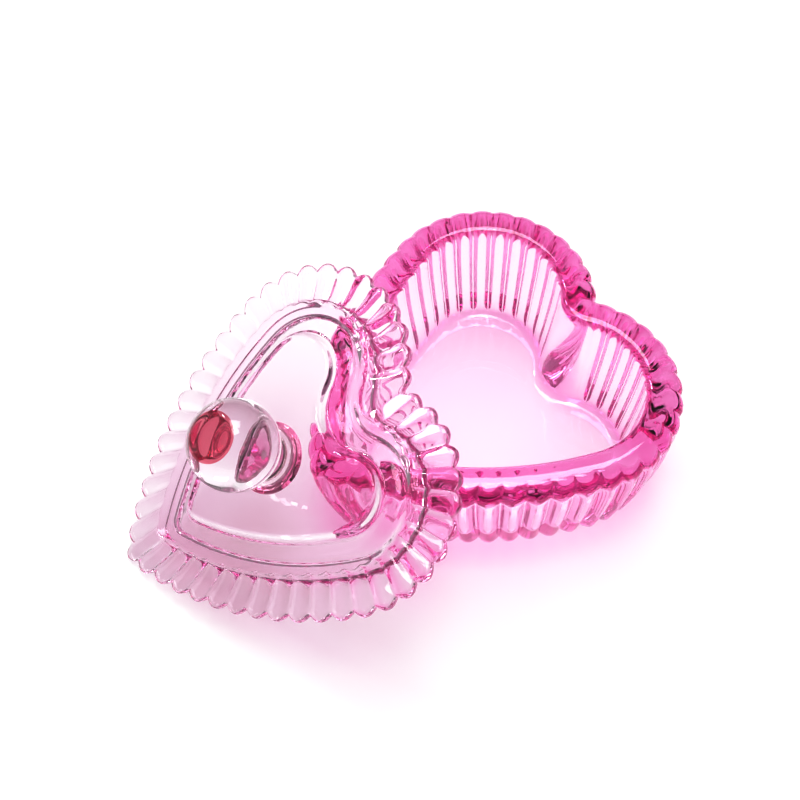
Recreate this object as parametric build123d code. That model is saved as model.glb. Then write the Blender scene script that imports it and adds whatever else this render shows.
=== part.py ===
"""A heart-shaped pressed-glass trinket box: a fluted bowl, a lid with a scalloped brim, and a ball knob.

Row frame, in millimetres: +Z up, the foot of the bowl on z = 0, its origin at the middle of that foot.
The cleft of the heart points to +Y and its tip to -Y. The lid is off the bowl: its tip stands on the
table and its hollow underside leans on the tip of the bowl's rim.
"""

import math
import os

from build123d import *

# The heart that both pieces share, measured halfway between the crests and the valleys of the ribs
HALF_WIDTH = 50.0
LOBE_RADIUS = 31.0
SIDE_RADIUS = 112.0
SHARP_TIP_DROP = 71.5  # from the line of the lobe centres to where the two sides would meet
TIP_RADIUS = 6.0
TIP_SOFTENING = -0.12
CLEFT_RADIUS = 2.5
CLEFT_SOFTENING = 0.55
RIBS_PER_SIDE = 23  # one more rib stands across the tip
RIB_DEPTH = 2.0

# The bowl
BOWL_HEIGHT = 40.0
FOOT_INSET = 9.2
HEEL_INSET = 7.4
HEEL_HEIGHT = 1.6
FLARE_INSET = 3.4  # how far in the wall is at FLARE_SHARE of the height
FLARE_SHARE = 0.42
RIB_TOP_INSET = 0.7  # where the ribs are at their full depth, just under the rim's roll
RIB_TOP_DROP = 2.6
FLOOR_THICKNESS = 6.2
FLOOR_INSET = 13.5
FLOOR_ROUND = 2.4
ROLL_WIDTH = 10.2  # the smooth roll of the rim, from the mean outline in to the opening
ROLL_DROP = 4.2  # from the top of the roll down to its outer edge
# Rows down the roll: share of its width, share of its drop and, outside, share of the ribs' depth
ROLL_OUTSIDE = ((0.0, 1.0, 0.4), (0.09, 0.66, 0.35), (0.26, 0.3, 0.2), (0.52, 0.0, 0.1))
ROLL_INSIDE = ((0.78, 0.0), (0.92, 0.18), (1.0, 0.62))

# The lid, in its own frame: z = 0 is the face that lands on the top of the bowl's roll
EDGE_ROUND = 0.9
BRIM_EDGE = 2.6
BRIM_WIDTH = 10.6
BRIM_RISE = 2.5
BRIM_KNEE = 0.4  # where across the brim its slope eases, and how much of the rise it has by then
BRIM_KNEE_RISE = 0.55
SHOULDER_WIDTH = 0.8
SHOULDER_STEP = 1.2
BAND_WIDTH = 8.3
BAND_DIP = 0.5
PLATEAU_SLOPE = 1.6
PLATEAU_STEP = 3.2
PLATEAU_ROUND = 0.8
GLASS_WALL = 4.5
LIP_CLEARANCE = 0.45  # between the lip and the bowl's opening
LIP_WIDTH = 2.6
LIP_DEPTH = 1.5
LIP_CHAMFER = 0.4
HOLLOW_FLARE = 1.2  # how much the hollow widens behind the lip
HOLLOW_SPRING = 0.6  # the height where that flare ends
BAND_WALL = 4.0

# The knob and the stepped rose collar under it
KNOB_FROM_CENTRE = 4.2  # towards the cleft
COLLAR_RADII = (9.9, 9.1, 8.3)
COLLAR_STEP = 1.0
COLLAR_ROUND = 0.4
NECK_RADIUS = 7.0
NECK_HEIGHT = 4.6
BALL_RADIUS = 12.4
CROWN_RADIUS = 6.1
CROWN_EDGE = 1.0
DISH_DEPTH = 0.5

# How the lid leans: turned about its own middle, tilted, and then turned on the table
LID_TURN = -10.8
LEAN_REACH = 67.0  # from the lid's low edge up to where the bowl's rim bears, along the lid's seat face
LID_SWING = -6.0
LID_ASIDE = -10.8
LEAN_GAP = 0.25
BEARING_DROP = 1.3  # from the top of the lid's band down to the part of its hollow that the bowl's rim bears on

UPWARDS = (0, 0, 1)


def softened(radius, softening, inset):
    """The radius of the tip or the cleft on a heart drawn further in."""
    return radius + softening * inset


def lobe_and_side():
    """The centres of the lobe's arc and of the side's arc, on the right half, from the lobe centres' line."""
    lobe_x = HALF_WIDTH - LOBE_RADIUS
    span = math.hypot(lobe_x, SHARP_TIP_DROP)
    # The side's arc touches the lobe's from outside and would end at the sharp tip
    along = ((SIDE_RADIUS - LOBE_RADIUS) ** 2 - SIDE_RADIUS**2 + span**2) / (2 * span)
    off = math.sqrt((SIDE_RADIUS - LOBE_RADIUS) ** 2 - along**2)
    to_tip_x, to_tip_y = -lobe_x / span, -SHARP_TIP_DROP / span
    return lobe_x, lobe_x + to_tip_x * along + to_tip_y * off, to_tip_y * along - to_tip_x * off


def tip_centre(inset):
    """How far up the middle line the centre of the tip's arc is: that arc touches both sides."""
    _, side_x, side_y = lobe_and_side()
    reach = SIDE_RADIUS - inset - softened(TIP_RADIUS, TIP_SOFTENING, inset)
    return side_y - math.sqrt(reach**2 - side_x**2)


def middle():
    """The middle of the heart's length, from the line of the lobe centres."""
    return (LOBE_RADIUS + tip_centre(0) - TIP_RADIUS) / 2


def half_heart(inset):
    """The right half of a heart parallel to the outline: four arcs (centre, radius, start, end), in degrees."""
    tip_radius = softened(TIP_RADIUS, TIP_SOFTENING, inset)
    cleft_radius = softened(CLEFT_RADIUS, CLEFT_SOFTENING, inset)
    lobe_radius = LOBE_RADIUS - inset
    lobe_x, side_x, side_y = lobe_and_side()
    cleft_y = math.sqrt((lobe_radius + cleft_radius) ** 2 - lobe_x**2)
    tip_y = tip_centre(inset)
    to_cleft = math.degrees(math.atan2(cleft_y, -lobe_x))
    to_side = math.degrees(math.atan2(-side_y, lobe_x - side_x))
    to_tip = math.degrees(math.atan2(tip_y - side_y, -side_x))
    arcs = [
        ((0.0, cleft_y), cleft_radius, -90.0, to_cleft - 180.0),
        ((lobe_x, 0.0), lobe_radius, to_cleft, to_side),
        ((side_x, side_y), SIDE_RADIUS - inset, to_side, to_tip),
        ((0.0, tip_y), tip_radius, to_tip, -90.0),
    ]
    return [((x, y - middle()), radius, start, end) for (x, y), radius, start, end in arcs]


def arc_point(arc, share, outward=0.0):
    """A point on one arc of the heart, moved outward from the heart by the given distance."""
    (x, y), radius, start, end = arc
    angle = math.radians(start + (end - start) * share)
    concave = end > start
    reach = radius - outward if concave else radius + outward
    return x + reach * math.cos(angle), y + reach * math.sin(angle)


def arc_length(arc):
    return arc[1] * math.radians(abs(arc[3] - arc[2]))


def stations():
    """Where the ribs stand on the right half: valleys and crests in turn, each as (arc number, share of it)."""
    lengths = [arc_length(arc) for arc in half_heart(0.0)]
    steps = 2 * RIBS_PER_SIDE + 1
    places = []
    for step in range(steps + 1):
        run = sum(lengths) * step / steps
        for number, length in enumerate(lengths):
            if run <= length or number == len(lengths) - 1:
                places.append((number, min(run / length, 1.0)))
                break
            run -= length
    return places


def ribbed_heart(inset, rib_share, z):
    """A heart face with one outward arc for each rib, at height z. rib_share is how much of RIB_DEPTH they have."""
    arcs = half_heart(inset)
    depth = RIB_DEPTH * rib_share
    right = []
    for step, (number, share) in enumerate(stations()):
        outward = depth / 2 if step % 2 else -depth / 2
        right.append(arc_point(arcs[number], share, outward))
    left = [(-x, y) for x, y in reversed(right[:-1])]
    points = [Vector(x, y, z) for x, y in right + left[:-1]]
    edges = []
    for valley in range(0, len(points), 2):
        crest = points[valley + 1]
        edges.append(ThreePointArc(points[valley], crest, points[(valley + 2) % len(points)]))
    return Face(Wire(edges))


def smooth_heart(inset, z):
    """A plain heart face at height z."""
    edges = []
    for side in (1, -1):
        for arc in half_heart(inset):
            ends = [arc_point(arc, share) for share in (0.0, 0.5, 1.0)]
            edges.append(ThreePointArc(*[Vector(side * x, y, z) for x, y in ends]))
    return Face(Wire(edges))


def bowl():
    """The fluted bowl: ribs outside, a smooth rolled rim, and a plain flared hollow inside."""
    outside = loft(
        [
            ribbed_heart(FOOT_INSET, 0.4, 0),
            ribbed_heart(HEEL_INSET, 0.7, HEEL_HEIGHT),
            ribbed_heart(FLARE_INSET, 1.0, BOWL_HEIGHT * FLARE_SHARE),
            ribbed_heart(RIB_TOP_INSET, 1.0, BOWL_HEIGHT - ROLL_DROP - RIB_TOP_DROP),
        ]
        + [
            ribbed_heart(ROLL_WIDTH * across, ribs, BOWL_HEIGHT - ROLL_DROP * down)
            for across, down, ribs in ROLL_OUTSIDE
        ],
        ruled=True,
    )
    hollow = loft(
        [
            smooth_heart(FLOOR_INSET + FLOOR_ROUND, FLOOR_THICKNESS),
            smooth_heart(FLOOR_INSET, FLOOR_THICKNESS + FLOOR_ROUND),
        ]
        + [smooth_heart(ROLL_WIDTH * across, BOWL_HEIGHT - ROLL_DROP * down) for across, down in reversed(ROLL_INSIDE)],
        ruled=True,
    )
    return outside - hollow


def shoulder_height():
    return BRIM_EDGE + BRIM_RISE + SHOULDER_STEP


def plateau_height():
    return shoulder_height() - BAND_DIP + PLATEAU_STEP


def lid():
    """The lid in its own frame: a ribbed brim, a smooth band, a raised heart, and a lip underneath."""
    brim = loft(
        [
            ribbed_heart(EDGE_ROUND, 0.8, 0),
            ribbed_heart(0, 1.0, EDGE_ROUND),
            ribbed_heart(0, 1.0, BRIM_EDGE),
            ribbed_heart(BRIM_WIDTH * BRIM_KNEE, 0.9, BRIM_EDGE + BRIM_RISE * BRIM_KNEE_RISE),
            ribbed_heart(BRIM_WIDTH, 0.5, BRIM_EDGE + BRIM_RISE),
        ],
        ruled=True,
    )
    band_start = BRIM_WIDTH + SHOULDER_WIDTH
    band_end = band_start + BAND_WIDTH
    wall_top = band_end + PLATEAU_SLOPE
    band = extrude(smooth_heart(band_start, BRIM_EDGE), shoulder_height() - BRIM_EDGE, dir=UPWARDS)
    sunk = smooth_heart(band_start + SHOULDER_WIDTH, shoulder_height() - BAND_DIP)
    groove = extrude(sunk, BAND_DIP, dir=UPWARDS)
    plateau = loft(
        [
            smooth_heart(band_end, BRIM_EDGE),
            smooth_heart(band_end, shoulder_height() - BAND_DIP),
            smooth_heart(wall_top, plateau_height() - PLATEAU_ROUND),
            smooth_heart(wall_top + PLATEAU_ROUND, plateau_height()),
        ],
        ruled=True,
    )
    lip_outside = ROLL_WIDTH + LIP_CLEARANCE
    lip_inside = lip_outside + LIP_WIDTH
    lip = loft(
        [
            smooth_heart(lip_outside + LIP_CHAMFER, -LIP_DEPTH),
            smooth_heart(lip_outside, -LIP_DEPTH + LIP_CHAMFER),
            smooth_heart(lip_outside, BRIM_EDGE / 2),
        ],
        ruled=True,
    )
    hollow = loft(
        [
            smooth_heart(lip_inside, -LIP_DEPTH),
            smooth_heart(lip_inside + HOLLOW_FLARE, HOLLOW_SPRING),
            smooth_heart(band_end, shoulder_height() - BAND_DIP - BAND_WALL),
            smooth_heart(wall_top + PLATEAU_ROUND, plateau_height() - GLASS_WALL),
        ],
        ruled=True,
    )
    return brim + (band - groove) + plateau + lip - hollow


def collar():
    """The rose collar between knob and lid: round steps, each narrower than the one below."""
    steps = []
    for number, radius in enumerate(COLLAR_RADII):
        base = Plane.XY.offset(plateau_height() + number * COLLAR_STEP)
        step = extrude(base * Circle(radius), COLLAR_STEP)
        steps.append(fillet(step.edges().sort_by(Axis.Z)[-1], COLLAR_ROUND))
    return Pos(0, KNOB_FROM_CENTRE, 0) * (steps[0] + steps[1:])


def knob():
    """The clear ball on its neck, with a flat crown that is dished in the middle."""
    foot = plateau_height() + COLLAR_STEP * len(COLLAR_RADII)
    ball_z = foot + NECK_HEIGHT + math.sqrt(BALL_RADIUS**2 - NECK_RADIUS**2)
    crown_z = ball_z + math.sqrt(BALL_RADIUS**2 - CROWN_RADIUS**2)
    upwards = (Align.CENTER, Align.CENTER, Align.MIN)
    ball = Pos(0, 0, ball_z) * Sphere(BALL_RADIUS)
    neck = Pos(0, 0, foot) * Cylinder(NECK_RADIUS, ball_z - foot, align=upwards)
    above = Pos(0, 0, crown_z) * Cylinder(BALL_RADIUS, BALL_RADIUS, align=upwards)
    dish_width = CROWN_RADIUS - CROWN_EDGE
    dish_radius = (dish_width**2 + DISH_DEPTH**2) / (2 * DISH_DEPTH)
    dish = Pos(0, 0, crown_z + dish_radius - DISH_DEPTH) * Sphere(dish_radius)
    return Pos(0, KNOB_FROM_CENTRE, 0) * (ball + neck - above - dish)


def bearing_height():
    return shoulder_height() - BAND_DIP - BEARING_DROP


def lid_tilt():
    """The lean that brings the bearing in the hollow, LEAN_REACH up the lid, to the height of the bowl's rim."""
    slant = math.hypot(LEAN_REACH, bearing_height())
    return math.degrees(math.asin((BOWL_HEIGHT + LEAN_GAP) / slant) - math.atan2(bearing_height(), LEAN_REACH))


def resting_place(lid_shape, bowl_shape):
    """Where the lid leans: its rim touches the table, and its hollow is on the tip of the bowl's rim."""
    turns = Rotation(0, 0, LID_SWING) * Rotation(lid_tilt(), 0, 0) * Rotation(0, 0, LID_TURN)
    normal = Plane(turns).z_dir
    bowl_reach = (turns.inverse() * bowl_shape).bounding_box().max.Z
    up = -(turns * lid_shape).bounding_box().min.Z
    along_normal = bowl_reach - bearing_height() + LEAN_GAP
    back = (along_normal - normal.X * LID_ASIDE - normal.Z * up) / normal.Y
    return Pos(LID_ASIDE, back, up) * turns


def main():
    os.makedirs("parts", exist_ok=True)
    bowl_shape = bowl()
    lid_shape = lid()
    place = resting_place(lid_shape, bowl_shape)
    pieces = {
        "bowl": bowl_shape,
        "lid": place * lid_shape,
        "knob_collar": place * collar(),
        "knob": place * knob(),
    }
    for name, shape in pieces.items():
        export_step(shape, f"parts/{name}.step")


main()
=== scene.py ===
"""Looks for the heart-shaped pressed-glass trinket box.

A fluted bowl, a lid leaning on it, and the lid's clear ball knob on a rose collar.
"""
import math

import bmesh
import bpy
from mathutils import Euler, Matrix, Vector


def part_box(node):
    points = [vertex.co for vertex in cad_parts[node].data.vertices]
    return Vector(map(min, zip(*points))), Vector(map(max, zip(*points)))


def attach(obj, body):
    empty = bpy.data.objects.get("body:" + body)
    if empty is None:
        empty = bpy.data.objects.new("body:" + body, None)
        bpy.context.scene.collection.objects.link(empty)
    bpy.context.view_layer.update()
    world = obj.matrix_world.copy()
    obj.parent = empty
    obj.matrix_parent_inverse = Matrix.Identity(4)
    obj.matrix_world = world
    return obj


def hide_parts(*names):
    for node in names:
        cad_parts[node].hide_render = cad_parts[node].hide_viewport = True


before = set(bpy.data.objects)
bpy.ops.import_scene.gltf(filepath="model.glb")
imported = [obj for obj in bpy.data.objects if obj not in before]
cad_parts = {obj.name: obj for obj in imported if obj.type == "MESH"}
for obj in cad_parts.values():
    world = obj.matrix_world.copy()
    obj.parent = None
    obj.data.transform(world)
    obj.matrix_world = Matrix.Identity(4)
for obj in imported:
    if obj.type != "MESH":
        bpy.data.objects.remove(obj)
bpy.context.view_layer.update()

MM = 0.001

# ---------------------------------------------------------------- the heart outline, in millimetres
HALF_WIDTH = 50.0
LOBE_RADIUS = 31.0
SIDE_RADIUS = 112.0
SHARP_TIP_DROP = 71.5  # from the lobe centres down to where the two sides would cross
TIP_RADIUS = 6.0
TIP_SOFTENING = -0.12  # change of the tip's radius for each millimetre of inset
CLEFT_RADIUS = 2.5
CLEFT_SOFTENING = 0.55  # the same for the cleft
RIBS_PER_SIDE = 23  # one more stands across the tip
CREST_SHARE = 0.42  # how much of a rib's depth stands out from the mean outline
STEPS_PER_RIB = 16


def lobe_and_side():
    """Centres of the lobe's and the side's arcs, from the line through the lobe centres."""
    lobe_x = HALF_WIDTH - LOBE_RADIUS
    span = math.hypot(lobe_x, SHARP_TIP_DROP)
    along = ((SIDE_RADIUS - LOBE_RADIUS) ** 2 - SIDE_RADIUS**2 + span**2) / (2 * span)
    off = math.sqrt((SIDE_RADIUS - LOBE_RADIUS) ** 2 - along**2)
    to_tip_x, to_tip_y = -lobe_x / span, -SHARP_TIP_DROP / span
    return lobe_x, lobe_x + to_tip_x * along + to_tip_y * off, to_tip_y * along - to_tip_x * off


def tip_centre(inset):
    """How far up the middle line the centre of the tip's arc is."""
    _, side_x, side_y = lobe_and_side()
    reach = SIDE_RADIUS - inset - (TIP_RADIUS + TIP_SOFTENING * inset)
    return side_y - math.sqrt(reach**2 - side_x**2)


MIDDLE = (LOBE_RADIUS + tip_centre(0) - TIP_RADIUS) / 2  # halfway from the tip to the tops of the lobes


def half_heart(inset):
    """The right half of a heart parallel to the outline, as arcs.

    Each is its centre's two places, its radius, and its start and end in radians.
    """
    tip_radius = TIP_RADIUS + TIP_SOFTENING * inset
    cleft_radius = CLEFT_RADIUS + CLEFT_SOFTENING * inset
    lobe_radius = LOBE_RADIUS - inset
    lobe_x, side_x, side_y = lobe_and_side()
    cleft_y = math.sqrt((lobe_radius + cleft_radius) ** 2 - lobe_x**2)
    tip_y = tip_centre(inset)
    to_cleft = math.atan2(cleft_y, -lobe_x)
    to_side = math.atan2(-side_y, lobe_x - side_x)
    to_tip = math.atan2(tip_y - side_y, -side_x)
    return [
        (0.0, cleft_y, cleft_radius, -math.pi / 2, to_cleft - math.pi),
        (lobe_x, 0.0, lobe_radius, to_cleft, to_side),
        (side_x, side_y, SIDE_RADIUS - inset, to_side, to_tip),
        (0.0, tip_y, tip_radius, to_tip, -math.pi / 2),
    ]


def stations():
    """Evenly spaced places along the right half: (arc number, share of the arc, half ribs passed)."""
    lengths = [radius * abs(end - start) for _, _, radius, start, end in half_heart(0.0)]
    half_ribs = 2 * RIBS_PER_SIDE + 1
    steps = half_ribs * STEPS_PER_RIB // 2
    places = []
    for step in range(steps + 1):
        run = sum(lengths) * step / steps
        for number, length in enumerate(lengths):
            if run <= length or number == len(lengths) - 1:
                places.append((number, min(run / length, 1.0), half_ribs * step / steps))
                break
            run -= length
    return places


STATIONS = stations()


def ring(inset, z, side_depth=0.0, drop_depth=0.0):
    """One closed ring of points. Ribs push its valleys inwards by side_depth and down by drop_depth."""
    arcs = half_heart(inset)
    right = []
    for number, share, half_ribs in STATIONS:
        x, y, radius, start, end = arcs[number]
        angle = start + (end - start) * share
        across = half_ribs % 2 - 1  # -1 and 1 in the valleys, 0 on the crest
        valley = across * across
        outward = side_depth * CREST_SHARE - side_depth * valley
        reach = radius - outward if end > start else radius + outward
        along, up = reach * math.cos(angle), reach * math.sin(angle)
        right.append((x + along, y - MIDDLE + up, z - drop_depth * valley))
    left = [(-x, y, height) for x, y, height in reversed(right[1:-1])]
    return right + left


def shrunk(points, share, centre_y, z):
    """A ring drawn towards the middle line, for floors and tops."""
    return [(x * share, centre_y + (y - centre_y) * share, z) for x, y, _ in points]


def closed_skin(name, rings, first_pole, last_pole):
    """A closed smooth mesh through rings of equal size, ending in a pole at each end."""
    count = len(rings[0])
    verts = [first_pole] + [point for one in rings for point in one] + [last_pole]
    last = len(verts) - 1
    faces = []
    for i in range(count):
        faces.append((0, 1 + (i + 1) % count, 1 + i))
    for r in range(len(rings) - 1):
        low, high = 1 + r * count, 1 + (r + 1) * count
        for i in range(count):
            j = (i + 1) % count
            faces.append((low + i, low + j, high + j, high + i))
    low = 1 + (len(rings) - 1) * count
    for i in range(count):
        faces.append((low + i, low + (i + 1) % count, last))
    return make_mesh(name, verts, faces)


def make_mesh(name, verts, faces):
    """A smooth-shaded piece in the scene from points in millimetres, with its faces turned outwards."""
    mesh = bpy.data.meshes.new(name)
    mesh.from_pydata([Vector(v) * MM for v in verts], [], faces)
    skin = bmesh.new()
    skin.from_mesh(mesh)
    bmesh.ops.recalc_face_normals(skin, faces=skin.faces)
    skin.to_mesh(mesh)
    skin.free()
    piece = bpy.data.objects.new(name, mesh)
    bpy.context.scene.collection.objects.link(piece)
    for polygon in mesh.polygons:
        polygon.use_smooth = True
    return piece


def arc_profile(centre_across, centre_z, radius, start, end, steps):
    """Points (across, z) on a round arc, its angles in degrees."""
    points = []
    for i in range(steps + 1):
        angle = math.radians(start + (end - start) * i / steps)
        points.append((centre_across + radius * math.cos(angle), centre_z + radius * math.sin(angle)))
    return points


# ---------------------------------------------------------------- bowl
BOWL_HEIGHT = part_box("bowl")[1].z / MM
FOOT_INSET = 9.2
FOOT_CLEARANCE = 0.03
HEEL_INSET = 7.3
HEEL_HEIGHT = 1.7
HEEL_RIB = 1.8
WALL_TOP_INSET = 0.75
WALL_FLARE = 1.35  # 1 is a straight wall, and more makes it flare out lower down
WALL_ROWS = 14
WALL_RIB = 2.1
RIB_TOP_DROP = 2.6  # the ribs begin to fade this far below the roll's outer edge
ROLL_WIDTH = 10.2  # the smooth rolled rim, from the outline in to the opening
ROLL_DROP = 4.2  # from the top of the roll down to its outer edge
ROLL_CREST = 5.2  # how far in from the outline the roll reaches its full height
ROLL_RIB = 0.8  # what is left of the ribs at the roll's outer edge
ROLL_ANGLES = (12, 24, 36, 48, 60, 72, 82, 90)
LIP_ANGLES = (75, 60, 45, 30, 15, 0)
LIP_ACROSS = 2.1  # the turn from the roll down into the opening
LIP_DOWN = 2.4
LIP_DROP = 2.5
FLOOR_Z = 6.2
FLOOR_INSET = 13.5
FLOOR_ROUND = 2.4
FLOOR_CROWN = 0.35
FLOOR_CENTRE_Y = 4.0  # the place that the rings of the floor and the sole close in on
HOLLOW_TOP_DROP = 3.2
HOLLOW_ROWS = 10
HOLLOW_FLARE = 1.25
CAP_SHARES = (0.9, 0.75, 0.6, 0.45, 0.3, 0.15)


def bowl_outside():
    """Rows of the outer wall from the foot to the top of the roll: inset, height, rib depth."""
    heel = [(FOOT_INSET, 0.0, 0.8), (8.6, 0.25, 1.2), (7.9, 0.8, 1.5), (HEEL_INSET, HEEL_HEIGHT, HEEL_RIB)]
    edge = BOWL_HEIGHT - ROLL_DROP
    rib_top = edge - RIB_TOP_DROP
    wall = []
    for i in range(1, WALL_ROWS + 1):
        share = i / WALL_ROWS
        inset = WALL_TOP_INSET + (HEEL_INSET - WALL_TOP_INSET) * (1 - share) ** WALL_FLARE
        height = HEEL_HEIGHT + (rib_top - HEEL_HEIGHT) * share
        wall.append((inset, height, HEEL_RIB + (WALL_RIB - HEEL_RIB) * min(1, share * 2)))
    fading = [(0.5, rib_top + 1.0, 1.9), (0.25, rib_top + 1.7, 1.4),
              (0.08, edge - 0.3, 1.0), (0.05, edge + 0.2, ROLL_RIB)]
    roll = []
    for angle in ROLL_ANGLES:
        lean = math.radians(angle)
        depth = ROLL_RIB * math.cos(lean) ** 0.7
        roll.append((ROLL_CREST * (1 - math.cos(lean)), edge + ROLL_DROP * math.sin(lean), depth))
    return heel + wall + fading + roll


def bowl_inside():
    """Rows of the hollow from the top of the roll to the floor: inset, height."""
    points = [(6.6, BOWL_HEIGHT), (7.6, BOWL_HEIGHT - 0.05)]
    for angle in LIP_ANGLES:
        lean = math.radians(angle)
        inset = ROLL_WIDTH - LIP_ACROSS + LIP_ACROSS * math.cos(lean)
        points.append((inset, BOWL_HEIGHT - LIP_DROP + LIP_DOWN * math.sin(lean)))
    wall_inset = ROLL_WIDTH + 0.05
    wall_top = BOWL_HEIGHT - HOLLOW_TOP_DROP
    wall_end = FLOOR_Z + FLOOR_ROUND
    for i in range(HOLLOW_ROWS + 1):
        share = i / HOLLOW_ROWS
        inset = wall_inset + (FLOOR_INSET - wall_inset) * share**HOLLOW_FLARE
        points.append((inset, wall_top + (wall_end - wall_top) * share))
    corner = [(FLOOR_INSET + 0.35, wall_end - 0.9), (FLOOR_INSET + 0.95, wall_end - 1.6),
              (FLOOR_INSET + 1.9, wall_end - 2.15), (FLOOR_INSET + 3.0, FLOOR_Z)]
    return points + corner


def make_bowl():
    outside = [ring(inset, max(z, FOOT_CLEARANCE), depth) for inset, z, depth in bowl_outside()]
    inside = [ring(inset, z) for inset, z in bowl_inside()]
    sole = [shrunk(outside[0], share, FLOOR_CENTRE_Y, FOOT_CLEARANCE) for share in reversed(CAP_SHARES)]
    floor = []
    for share in CAP_SHARES:
        height = FLOOR_Z + FLOOR_CROWN * (1 - share**2)
        floor.append(shrunk(inside[-1], share, FLOOR_CENTRE_Y, height))
    sole_pole = (0, FLOOR_CENTRE_Y, FOOT_CLEARANCE)
    floor_pole = (0, FLOOR_CENTRE_Y, FLOOR_Z + FLOOR_CROWN)
    return closed_skin("bowl_glass", sole + outside + inside + floor, sole_pole, floor_pole)


# ---------------------------------------------------------------- lid, in its own frame
LID_TOP = [
    # inset, height, how deep the ribs cut sideways and downwards
    (0.95, 0.05, 1.5, 0.0), (0.5, 0.35, 1.8, 0.0), (0.1, 1.0, 2.1, 0.0), (0.0, 1.8, 2.3, 0.0),
    (0.2, 2.5, 2.3, 0.1), (0.7, 3.0, 2.3, 0.3), (1.6, 3.35, 2.1, 0.65), (3.0, 3.7, 1.8, 1.0),
    (4.8, 4.1, 1.4, 1.2), (6.8, 4.5, 1.1, 1.2), (8.6, 4.85, 0.9, 1.0), (9.8, 5.05, 0.8, 0.7),
    (10.5, 5.15, 0.8, 0.4), (10.8, 5.4, 0.7, 0.1), (10.95, 5.9, 0.5, 0.0), (11.3, 6.2, 0.3, 0.0),
    (11.9, 6.3, 0.1, 0.0), (12.6, 6.15, 0.0, 0.0), (13.6, 5.9, 0.0, 0.0), (15.8, 5.8, 0.0, 0.0),
    (18.0, 5.8, 0.0, 0.0), (19.2, 5.85, 0.0, 0.0), (19.65, 6.1, 0.0, 0.0), (20.1, 6.9, 0.0, 0.0),
    (20.7, 8.0, 0.0, 0.0), (21.1, 8.6, 0.0, 0.0), (21.7, 8.92, 0.0, 0.0), (22.5, 9.0, 0.0, 0.0),
]
LID_UNDER = [
    # inset, height
    (22.6, 4.5), (21.4, 4.48), (20.8, 4.2), (20.2, 3.5), (19.6, 2.6), (18.6, 1.9), (16.6, 1.3), (15.2, 0.85),
    (14.4, 0.4), (13.8, -0.4), (13.5, -1.1), (13.1, -1.5), (11.6, -1.5), (11.15, -1.35),
    (10.85, -1.0), (10.75, -0.3), (10.6, 0.0), (8.0, 0.0), (5.0, 0.0), (2.4, 0.0),
]
PLATEAU_Z = LID_TOP[-1][1]  # the flat top of the raised heart
CEILING_Z = LID_UNDER[0][1]  # the flat ceiling of the hollow underneath
PLATEAU_CENTRE_Y = 2.0


def make_lid():
    under = [ring(inset, z) for inset, z in LID_UNDER]
    top = [ring(*row) for row in LID_TOP]
    ceiling = [shrunk(under[0], share, PLATEAU_CENTRE_Y, CEILING_Z) for share in reversed(CAP_SHARES)]
    plateau = [shrunk(top[-1], share, PLATEAU_CENTRE_Y, PLATEAU_Z) for share in CAP_SHARES]
    poles = (0, PLATEAU_CENTRE_Y, CEILING_Z), (0, PLATEAU_CENTRE_Y, PLATEAU_Z)
    return closed_skin("lid_glass", ceiling + under + top + plateau, *poles)


# ---------------------------------------------------------------- knob and collar, turned
KNOB_FROM_CENTRE = 4.2
COLLAR_RADII = (9.9, 9.1, 8.3)
COLLAR_STEP = 1.0
NECK_RADIUS = 7.0
NECK_HEIGHT = 4.6
BALL_RADIUS = 12.4
CROWN_RADIUS = 6.1
CROWN_SOFT = 0.35  # how far in the crown's edge is rounded
DISH_DEPTH = 0.5
FUSED = 0.25  # how far one glass runs into the next, where they are melted together
TURNED_STEPS = 128
DISH_ROWS = 6
BALL_ROWS = 40
FOOT_Z = PLATEAU_Z + COLLAR_STEP * len(COLLAR_RADII)  # where the neck stands on the collar
NECK_TOP = FOOT_Z + NECK_HEIGHT
BALL_Z = NECK_TOP + math.sqrt(BALL_RADIUS**2 - NECK_RADIUS**2)
CROWN_Z = BALL_Z + math.sqrt(BALL_RADIUS**2 - CROWN_RADIUS**2)


def turned(name, profile):
    """A closed turned mesh from a profile of (radius, z) whose two ends are on the axis."""
    rings = []
    for radius, z in profile[1:-1]:
        one = []
        for i in range(TURNED_STEPS):
            angle = 2 * math.pi * i / TURNED_STEPS
            one.append((radius * math.cos(angle), KNOB_FROM_CENTRE + radius * math.sin(angle), z))
        rings.append(one)
    first = (0, KNOB_FROM_CENTRE, profile[0][1])
    return closed_skin(name, rings, first, (0, KNOB_FROM_CENTRE, profile[-1][1]))


def collar_profile():
    """The three round steps, from the axis inside the lid to the axis under the knob."""
    base = PLATEAU_Z - FUSED
    points = [(0, base), (COLLAR_RADII[0] * 0.5, base), (COLLAR_RADII[0] - 0.3, base)]
    for number, radius in enumerate(COLLAR_RADII):
        low = PLATEAU_Z + number * COLLAR_STEP
        middle = low + COLLAR_STEP / 2
        points += arc_profile(radius - COLLAR_STEP / 2, middle, COLLAR_STEP / 2, -70, 80, 8)
    return points + [(NECK_RADIUS - 0.5, FOOT_Z), (NECK_RADIUS * 0.5, FOOT_Z), (0, FOOT_Z)]


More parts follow.
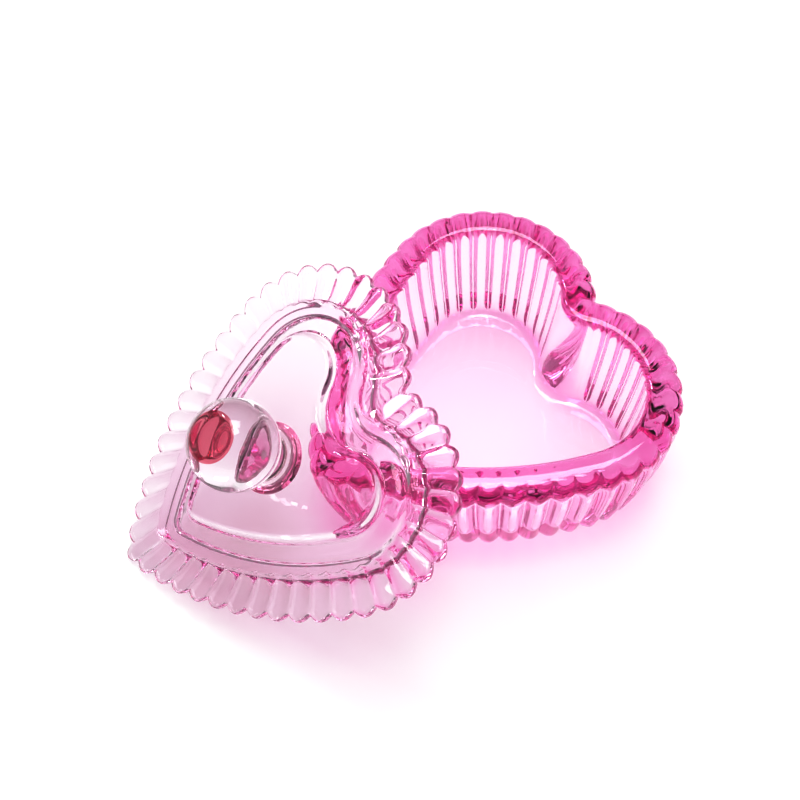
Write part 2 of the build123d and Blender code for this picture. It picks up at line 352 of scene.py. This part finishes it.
def knob_profile():
    """The neck, the ball and the dished crown, from the axis at the foot to the axis at the top."""
    base = FOOT_Z - FUSED
    foot = NECK_RADIUS - 0.15
    waist = NECK_RADIUS - 0.45
    points = [(0, base), (NECK_RADIUS * 0.5, base), (NECK_RADIUS - 0.25, base), (NECK_RADIUS, base + 0.25)]
    points += [(foot, FOOT_Z + 0.8), (waist, FOOT_Z + 2.2), (waist, NECK_TOP - 2.0), (foot, NECK_TOP - 0.7)]
    start = math.degrees(math.asin((NECK_TOP + 0.1 - BALL_Z) / BALL_RADIUS)) + 1.5
    end = math.degrees(math.asin((CROWN_Z - BALL_Z) / BALL_RADIUS)) - 2.0
    points += arc_profile(0, BALL_Z, BALL_RADIUS, start, end, BALL_ROWS)
    points += [(CROWN_RADIUS + 0.12, CROWN_Z - 0.12), (CROWN_RADIUS - CROWN_SOFT, CROWN_Z)]
    dish = CROWN_RADIUS - 1.0
    for i in range(DISH_ROWS):
        radius = dish * (1 - i / DISH_ROWS)
        points.append((radius, CROWN_Z - DISH_DEPTH * (1 - (radius / dish) ** 2)))
    return points + [(0, CROWN_Z - DISH_DEPTH)]


# ---------------------------------------------------------------- where the lid leans
LID_TURN = -10.8
LID_SWING = -6.0
LEAN_REACH = 67.0  # up the lid, to where the bowl's rim bears under it
LEAN_GAP = 0.25
LID_TILT = math.degrees(math.asin((BOWL_HEIGHT + LEAN_GAP) / math.hypot(LEAN_REACH, CEILING_Z))
                        - math.atan2(CEILING_Z, LEAN_REACH))


def lid_place():
    """The leaning lid's frame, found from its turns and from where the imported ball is.

    The ball is the front and the top of the knob's box.
    """
    swing = Matrix.Rotation(math.radians(LID_SWING), 4, "Z")
    tilt = Matrix.Rotation(math.radians(LID_TILT), 4, "X")
    turn = Matrix.Rotation(math.radians(LID_TURN), 4, "Z")
    low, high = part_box("knob")
    ball = Vector(((low.x + high.x) / 2, low.y + BALL_RADIUS * MM, high.z - BALL_RADIUS * MM))
    origin = ball - swing @ tilt @ turn @ (Vector((0, KNOB_FROM_CENTRE, BALL_Z)) * MM)
    return Matrix.Translation(origin) @ swing @ tilt @ turn


def settle(piece, place):
    piece.data.transform(place)
    piece.data.update()
    return piece


# ---------------------------------------------------------------- glass
def glass(name, loss_per_metre, ripple, ripple_size, shadow, edge_shadow, face=(1, 1, 1)):
    """Clear coloured glass. loss_per_metre is how strongly red, green and blue are taken out along a ray.

    shadow and edge_shadow colour the light that passes through it, straight on and at a slant.
    """
    material = bpy.data.materials.new(name)
    material.use_nodes = True
    tree = material.node_tree
    nodes, links = tree.nodes, tree.links
    nodes.clear()
    out = nodes.new("ShaderNodeOutputMaterial")
    body = nodes.new("ShaderNodeBsdfPrincipled")
    body.inputs["Base Color"].default_value = (*face, 1)
    body.inputs["Roughness"].default_value = 0.0
    body.inputs["IOR"].default_value = 1.5
    body.inputs["Transmission Weight"].default_value = 1.0
    noise = nodes.new("ShaderNodeTexNoise")
    noise.inputs["Scale"].default_value = ripple_size
    noise.inputs["Detail"].default_value = 1.5
    coords = nodes.new("ShaderNodeTexCoord")
    links.new(coords.outputs["Object"], noise.inputs["Vector"])
    bump = nodes.new("ShaderNodeBump")
    bump.inputs["Strength"].default_value = ripple
    bump.inputs["Distance"].default_value = 0.001
    links.new(noise.outputs["Fac"], bump.inputs["Height"])
    links.new(bump.outputs["Normal"], body.inputs["Normal"])
    # A shadow ray goes straight through, and loses more where it meets the glass at a slant
    weight = nodes.new("ShaderNodeLayerWeight")
    weight.inputs["Blend"].default_value = 0.2
    tint = nodes.new("ShaderNodeMix")
    tint.data_type = "RGBA"
    links.new(weight.outputs["Facing"], tint.inputs["Factor"])
    tint.inputs["A"].default_value = (*shadow, 1)
    tint.inputs["B"].default_value = (*edge_shadow, 1)
    clear = nodes.new("ShaderNodeBsdfTransparent")
    links.new(tint.outputs["Result"], clear.inputs["Color"])
    path = nodes.new("ShaderNodeLightPath")
    mix = nodes.new("ShaderNodeMixShader")
    links.new(path.outputs["Is Shadow Ray"], mix.inputs["Fac"])
    links.new(body.outputs["BSDF"], mix.inputs[1])
    links.new(clear.outputs["BSDF"], mix.inputs[2])
    links.new(mix.outputs["Shader"], out.inputs["Surface"])
    if max(loss_per_metre) == 0:
        return material
    strongest = max(loss_per_metre) * 1.02  # a little more, so that no colour channel falls to 0
    absorb = nodes.new("ShaderNodeVolumeAbsorption")
    absorb.inputs["Density"].default_value = strongest
    absorb.inputs["Color"].default_value = (*[1 - loss / strongest for loss in loss_per_metre], 1)
    links.new(absorb.outputs["Volume"], out.inputs["Volume"])
    return material


PINK = glass("pink_pressed_glass", (0.4, 21, 7), 0.10, 75, (1.0, 0.99, 0.995), (0.84, 0.72, 0.78))
PALE = glass("pale_pink_glass", (2.5, 27, 11.5), 0.08, 110, (1.0, 0.985, 0.992), (0.66, 0.52, 0.60))
ROSE = glass("rose_collar_glass", (3, 22, 17), 0.08, 200, (0.99, 0.94, 0.95), (0.7, 0.55, 0.58))
CLEAR = glass("clear_knob_glass", (0, 0, 0), 0.05, 120, (0.98, 0.96, 0.97), (0.55, 0.52, 0.54))
# The crown's rose red and its red shadow tint are a painted reflection: the rose collar as seen through the
# clear ball.
CROWN = glass("crown_painted_collar_reflection", (0, 0, 0), 0.05, 120, (0.95, 0.60, 0.62), (0.7, 0.4, 0.42),
              face=(0.66, 0.06, 0.10))


def paint_crown_reflection(knob):
    """The flat crown of the ball takes the knob's second material, whose rose red is a painted reflection of
    the collar seen through the ball.
    """
    for polygon in knob.data.polygons:
        if polygon.center.z > (CROWN_Z - DISH_DEPTH - 0.1) * MM:
            polygon.material_index = 1


def dress(piece, material, body, node):
    """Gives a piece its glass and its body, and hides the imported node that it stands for."""
    piece.data.materials.append(material)
    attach(piece, body)
    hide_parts(node)


lid_frame = lid_place()
dress(make_bowl(), PINK, "bowl", "bowl")
dress(settle(make_lid(), lid_frame), PALE, "lid", "lid")
dress(settle(turned("collar_glass", collar_profile()), lid_frame), ROSE, "lid", "knob_collar")
knob = turned("knob_glass", knob_profile())
# Paints the collar's reflection onto the crown's faces.
paint_crown_reflection(knob)
dress(settle(knob, lid_frame), CLEAR, "lid", "knob")
knob.data.materials.append(CROWN)


# ---------------------------------------------------------------- floor, light and camera
BACKDROP = (0.985, 0.985, 0.988)
FLOOR_REACH = 3.0  # metres, as all the sizes below
FLOOR_COLOUR = (0.95, 0.95, 0.952)
FADE_START = 0.22  # how far out the floor begins to run into the backdrop
FADE_END = 0.55
DOME_STRENGTH = 0.38
DARK_BELOW = 0.16  # the dark band at the horizon, as the sine of the angle above it
BRIGHT_ABOVE = 0.44
HORIZON_COLOUR = (0.03, 0.015, 0.025)
CAMERA_AIM = Vector((-16.46, -12.0, 15.0)) * MM
CAMERA_TURN = 55.0
CAMERA_RISE = 58.13
CAMERA_DISTANCE = 0.49
CAMERA_LENS = 76.6
# a grey and the deeper grey that it becomes
MIDTONES = ((0.18, 0.105), (0.5, 0.405), (0.85, 0.84))


def make_floor():
    """A pale matt floor. Far from the box, the camera sees it run into the backdrop's own white."""
    mesh = bpy.data.meshes.new("floor")
    signs = ((-1, -1), (1, -1), (1, 1), (-1, 1))
    corners = [(x * FLOOR_REACH, y * FLOOR_REACH, 0) for x, y in signs]
    mesh.from_pydata(corners, [], [(0, 1, 2, 3)])
    floor = bpy.data.objects.new("floor", mesh)
    bpy.context.scene.collection.objects.link(floor)
    material = bpy.data.materials.new("pale_floor")
    material.use_nodes = True
    tree = material.node_tree
    nodes, links = tree.nodes, tree.links
    paint = nodes["Principled BSDF"]
    paint.inputs["Base Color"].default_value = (*FLOOR_COLOUR, 1)
    paint.inputs["Roughness"].default_value = 0.6
    paint.inputs["Specular IOR Level"].default_value = 0.2
    coords = nodes.new("ShaderNodeTexCoord")
    length = nodes.new("ShaderNodeVectorMath")
    length.operation = "LENGTH"
    links.new(coords.outputs["Object"], length.inputs[0])
    far = nodes.new("ShaderNodeMapRange")
    far.inputs["From Min"].default_value = FADE_START
    far.inputs["From Max"].default_value = FADE_END
    links.new(length.outputs["Value"], far.inputs["Value"])
    path = nodes.new("ShaderNodeLightPath")
    seen = nodes.new("ShaderNodeMath")
    seen.operation = "MULTIPLY"
    links.new(far.outputs["Result"], seen.inputs[0])
    links.new(path.outputs["Is Camera Ray"], seen.inputs[1])
    white = nodes.new("ShaderNodeEmission")
    white.inputs["Color"].default_value = (*BACKDROP, 1)
    mix = nodes.new("ShaderNodeMixShader")
    links.new(seen.outputs["Value"], mix.inputs["Fac"])
    links.new(paint.outputs["BSDF"], mix.inputs[1])
    links.new(white.outputs["Emission"], mix.inputs[2])
    links.new(mix.outputs["Shader"], nodes["Material Output"].inputs["Surface"])
    mesh.materials.append(material)


def aim(lamp, place):
    """Puts a lamp in its place, looking at the origin."""
    lamp.location = place
    lamp.rotation_euler = (-Vector(place)).to_track_quat("-Z", "Y").to_euler()


def area_light(name, place, size, power):
    """A rectangular light aimed at the middle of the foot."""
    data = bpy.data.lights.new(name, "AREA")
    data.shape = "RECTANGLE"
    data.size, data.size_y = size
    data.energy = power
    lamp = bpy.data.objects.new(name, data)
    bpy.context.scene.collection.objects.link(lamp)
    aim(lamp, place)


def spot_light(name, place, cone, power):
    """A narrow soft-edged cone of light on the bowl's floor, its full angle in degrees."""
    data = bpy.data.lights.new(name, "SPOT")
    data.spot_size = math.radians(cone)
    data.spot_blend = 1.0
    data.shadow_soft_size = 0.03
    data.energy = power
    lamp = bpy.data.objects.new(name, data)
    bpy.context.scene.collection.objects.link(lamp)
    aim(lamp, place)


def make_world():
    """A bright sky dome over a dark band at the horizon, which draws the dark lines in the glass."""
    world = bpy.data.worlds.new("studio")
    bpy.context.scene.world = world
    world.use_nodes = True
    tree = world.node_tree
    nodes, links = tree.nodes, tree.links
    nodes.clear()
    out = nodes.new("ShaderNodeOutputWorld")
    coords = nodes.new("ShaderNodeTexCoord")
    split = nodes.new("ShaderNodeSeparateXYZ")
    links.new(coords.outputs["Generated"], split.inputs["Vector"])
    ramp = nodes.new("ShaderNodeValToRGB")
    stops = ramp.color_ramp.elements
    stops[0].position = DARK_BELOW
    stops[0].color = (*HORIZON_COLOUR, 1)
    stops[1].position = BRIGHT_ABOVE
    stops[1].color = (1, 1, 1, 1)
    links.new(split.outputs["Z"], ramp.inputs["Fac"])
    dome = nodes.new("ShaderNodeBackground")
    dome.inputs["Strength"].default_value = DOME_STRENGTH
    links.new(ramp.outputs["Color"], dome.inputs["Color"])
    backdrop = nodes.new("ShaderNodeBackground")
    backdrop.inputs["Color"].default_value = (*BACKDROP, 1)
    path = nodes.new("ShaderNodeLightPath")
    mix = nodes.new("ShaderNodeMixShader")
    links.new(path.outputs["Is Camera Ray"], mix.inputs["Fac"])
    links.new(dome.outputs["Background"], mix.inputs[1])
    links.new(backdrop.outputs["Background"], mix.inputs[2])
    links.new(mix.outputs["Shader"], out.inputs["Surface"])


def make_camera():
    """A camera that looks down on the box from its tip's right."""
    data = bpy.data.cameras.new("camera")
    data.lens = CAMERA_LENS
    data.sensor_width = 36.0
    data.clip_start = 0.01
    camera = bpy.data.objects.new("camera", data)
    bpy.context.scene.collection.objects.link(camera)
    turn, rise = math.radians(CAMERA_TURN), math.radians(CAMERA_RISE)
    back = Vector((math.sin(turn) * math.cos(rise), -math.cos(turn) * math.cos(rise), math.sin(rise)))
    camera.location = CAMERA_AIM + back * CAMERA_DISTANCE
    camera.rotation_euler = Euler((math.pi / 2 - rise, 0, turn))
    bpy.context.scene.camera = camera


def deepen_midtones(view):
    """A gentle contrast curve, so that the pinks stay rich beside the white floor."""
    view.use_curve_mapping = True
    curve = view.curve_mapping.curves[3]
    for grey, deeper in MIDTONES:
        curve.points.new(grey, deeper)
    view.curve_mapping.update()


make_floor()
make_world()
make_camera()
area_light("key", (-0.85, -0.12, 0.85), (0.14, 0.14), 4.2)
area_light("strip", (-0.26, 0.18, 0.95), (0.45, 0.3), 4.0)
area_light("overhead", (0.0, 0.05, 1.1), (0.35, 0.35), 4.6)
spot_light("snoot", (0.0, 0.0, 1.0), 5.4, 19.0)

scene = bpy.context.scene
scene.view_settings.view_transform = "Standard"
deepen_midtones(scene.view_settings)
scene.cycles.max_bounces = 24
scene.cycles.transmission_bounces = 24
scene.cycles.transparent_max_bounces = 24
scene.cycles.glossy_bounces = 12
scene.cycles.caustics_reflective = False
scene.cycles.caustics_refractive = False
